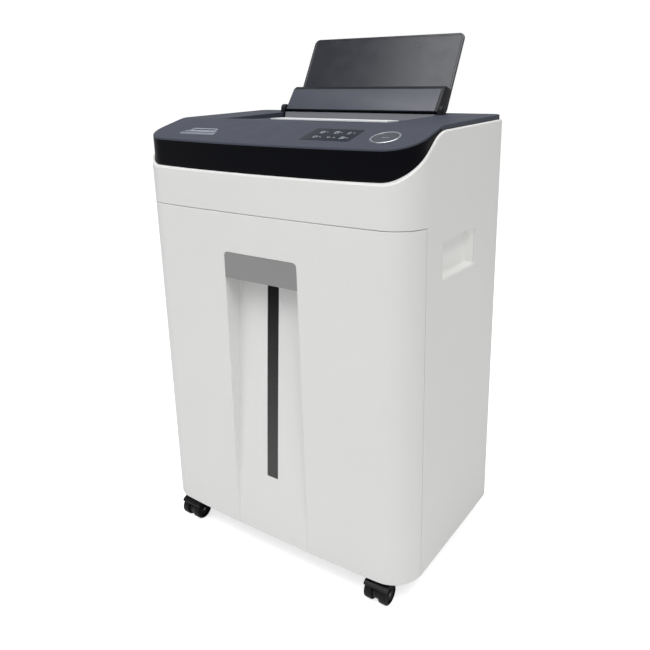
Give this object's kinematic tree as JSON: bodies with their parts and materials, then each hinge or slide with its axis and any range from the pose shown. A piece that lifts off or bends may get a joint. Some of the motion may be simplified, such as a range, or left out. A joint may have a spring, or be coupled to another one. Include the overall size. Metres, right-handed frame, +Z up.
{
  "type": "paper shredder",
  "caption": "Deskside paper shredder on casters, with a pull-out bin, a folding paper tray and a cutter block inside a white cabinet.",
  "frame": {"origin": "on the floor under the middle of the whole object's box, with the tray open", "axes": "+Z up, +Y towards the back, the front with the bin faces -Y, +X to the right of the front as its user faces it"},
  "size_m": [0.4, 0.2872, 0.676],
  "materials": {
    "white_shell": "satin moulded",
    "deck_plastic": "fine textured, satin",
    "band_gloss": "polished",
    "display_glass": "smooth, dark tinted",
    "ring_metal": "bright",
    "button_plastic": "satin",
    "lip_white": "smooth",
    "ramp_grey": "satin",
    "tray_dark": "satin",
    "window_smoke": "smoked, polished",
    "bin_grey": "moulded",
    "base_black": "moulded",
    "steel_plate": "zinc plated",
    "cutter_steel": "hardened, oiled",
    "screw_steel": "zinc plated",
    "bush_bronze": "sintered",
    "comb_plastic": "glass filled",
    "motor_steel": "satin",
    "gear_steel": "machined",
    "gear_plastic": "moulded nylon",
    "board_green": "lacquered",
    "black_plastic": "moulded",
    "rocker_black": "polished",
    "pull_grey": "satin",
    "caster_black": "moulded",
    "wheel_black": "nylon tread"
  },
  "bodies": {
    "cabinet": {"cabinet_shell": "white_shell", "base_plate": "base_black", "rear_panel": "white_shell", "rear_screws": "screw_steel", "chassis_plate": "steel_plate", "top_cover": "deck_plastic", "front_band": "band_gloss", "display_window": "display_glass", "entry_lip": "lip_white", "chute_plate": "ramp_grey", "button_ring": "ring_metal", "cutter_plate_left": "steel_plate", "cutter_plate_right": "steel_plate", "shaft_bushes": "bush_bronze", "front_comb": "comb_plastic", "rear_comb": "comb_plastic", "tie_rods": "screw_steel", "motor_body": "motor_steel", "idler_axle": "screw_steel", "control_board": "board_green", "power_board": "board_green", "power_inlet": "black_plastic", "switch_frame": "black_plastic", "bin_sensor": "black_plastic", "paper_sensor": "black_plastic", "grip_left": "white_shell", "grip_right": "white_shell"},
    "bin": {"bin_front": "white_shell", "pull_plate": "pull_grey", "bin_tub": "bin_grey", "bin_window": "window_smoke", "bin_screws": "screw_steel"},
    "tray": {"tray_bar": "tray_dark", "tray_plate": "tray_dark", "tray_pins": "black_plastic"},
    "button": {"button_cap": "button_plastic"},
    "switch_rocker": {"rocker": "rocker_black"},
    "cutter_front": {"front_cutter": "cutter_steel", "front_gear": "gear_steel", "drive_gear": "gear_steel"},
    "cutter_rear": {"rear_cutter": "cutter_steel", "rear_gear": "gear_steel"},
    "idler": {"idler_gear": "gear_plastic"},
    "motor_rotor": {"motor_pinion": "gear_steel"},
    "caster_fl": {"caster_hood_fl": "caster_black", "caster_axle_fl": "screw_steel"},
    "wheel_fl_a": {"caster_wheel_fl_a": "wheel_black"},
    "wheel_fl_b": {"caster_wheel_fl_b": "wheel_black"},
    "caster_fr": {"caster_hood_fr": "caster_black", "caster_axle_fr": "screw_steel"},
    "wheel_fr_a": {"caster_wheel_fr_a": "wheel_black"},
    "wheel_fr_b": {"caster_wheel_fr_b": "wheel_black"},
    "caster_rl": {"caster_hood_rl": "caster_black", "caster_axle_rl": "screw_steel"},
    "wheel_rl_a": {"caster_wheel_rl_a": "wheel_black"},
    "wheel_rl_b": {"caster_wheel_rl_b": "wheel_black"},
    "caster_rr": {"caster_hood_rr": "caster_black", "caster_axle_rr": "screw_steel"},
    "wheel_rr_a": {"caster_wheel_rr_a": "wheel_black"},
    "wheel_rr_b": {"caster_wheel_rr_b": "wheel_black"}
  },
  "joints": [
    {"name": "bin_slide", "type": "slide", "parent": "cabinet", "child": "bin", "axis": [0, -1, 0], "range_m": [0, 0.2]},
    {"name": "tray_fold", "type": "hinge", "parent": "cabinet", "child": "tray", "pos_m": [0, 0.06744, 0.577], "axis": [1, 0, 0], "range_deg": [0, 129]},
    {"name": "button_press", "type": "slide", "parent": "cabinet", "child": "button", "axis": [0, 0.2873, -0.9578], "range_m": [0, 0.0012], "stiffness_N_per_m": 600, "springref_m": -0.0003},
    {"name": "rocker_tilt", "type": "hinge", "parent": "cabinet", "child": "switch_rocker", "pos_m": [-0.053, 0.10044, 0.496], "axis": [1, 0, 0], "range_deg": [0, 16]},
    {"name": "front_cutter_spin", "type": "hinge", "parent": "cabinet", "child": "cutter_front", "pos_m": [0, 0.01744, 0.508], "axis": [1, 0, 0], "continuous": true},
    {"name": "rear_cutter_spin", "type": "hinge", "parent": "cabinet", "child": "cutter_rear", "pos_m": [0, 0.04744, 0.508], "axis": [1, 0, 0], "continuous": true},
    {"name": "idler_spin", "type": "hinge", "parent": "cabinet", "child": "idler", "pos_m": [0.15, -0.02122, 0.52007], "axis": [1, 0, 0], "continuous": true},
    {"name": "motor_spin", "type": "hinge", "parent": "cabinet", "child": "motor_rotor", "pos_m": [0.1, -0.05556, 0.505], "axis": [1, 0, 0], "continuous": true},
    {"name": "swivel_fl", "type": "hinge", "parent": "cabinet", "child": "caster_fl", "pos_m": [-0.158, -0.11756, 0.036], "axis": [0, 0, 1], "continuous": true},
    {"name": "roll_fl_a", "type": "hinge", "parent": "caster_fl", "child": "wheel_fl_a", "pos_m": [-0.158, -0.12956, 0.013], "axis": [1, 0, 0], "continuous": true},
    {"name": "roll_fl_b", "type": "hinge", "parent": "caster_fl", "child": "wheel_fl_b", "pos_m": [-0.158, -0.12956, 0.013], "axis": [1, 0, 0], "continuous": true},
    {"name": "swivel_fr", "type": "hinge", "parent": "cabinet", "child": "caster_fr", "pos_m": [0.158, -0.11756, 0.036], "axis": [0, 0, 1], "continuous": true},
    {"name": "roll_fr_a", "type": "hinge", "parent": "caster_fr", "child": "wheel_fr_a", "pos_m": [0.158, -0.12956, 0.013], "axis": [1, 0, 0], "continuous": true},
    {"name": "roll_fr_b", "type": "hinge", "parent": "caster_fr", "child": "wheel_fr_b", "pos_m": [0.158, -0.12956, 0.013], "axis": [1, 0, 0], "continuous": true},
    {"name": "swivel_rl", "type": "hinge", "parent": "cabinet", "child": "caster_rl", "pos_m": [-0.158, 0.07744, 0.036], "axis": [0, 0, 1], "continuous": true},
    {"name": "roll_rl_a", "type": "hinge", "parent": "caster_rl", "child": "wheel_rl_a", "pos_m": [-0.158, 0.06544, 0.013], "axis": [1, 0, 0], "continuous": true},
    {"name": "roll_rl_b", "type": "hinge", "parent": "caster_rl", "child": "wheel_rl_b", "pos_m": [-0.158, 0.06544, 0.013], "axis": [1, 0, 0], "continuous": true},
    {"name": "swivel_rr", "type": "hinge", "parent": "cabinet", "child": "caster_rr", "pos_m": [0.158, 0.07744, 0.036], "axis": [0, 0, 1], "continuous": true},
    {"name": "roll_rr_a", "type": "hinge", "parent": "caster_rr", "child": "wheel_rr_a", "pos_m": [0.158, 0.06544, 0.013], "axis": [1, 0, 0], "continuous": true},
    {"name": "roll_rr_b", "type": "hinge", "parent": "caster_rr", "child": "wheel_rr_b", "pos_m": [0.158, 0.06544, 0.013], "axis": [1, 0, 0], "continuous": true}
  ],
  "couplings": [
    {"joint": "rear_cutter_spin", "follows": "front_cutter_spin", "ratio": -1},
    {"joint": "idler_spin", "follows": "front_cutter_spin", "ratio": -2.8571},
    {"joint": "motor_spin", "follows": "front_cutter_spin", "ratio": 11.429}
  ]
}
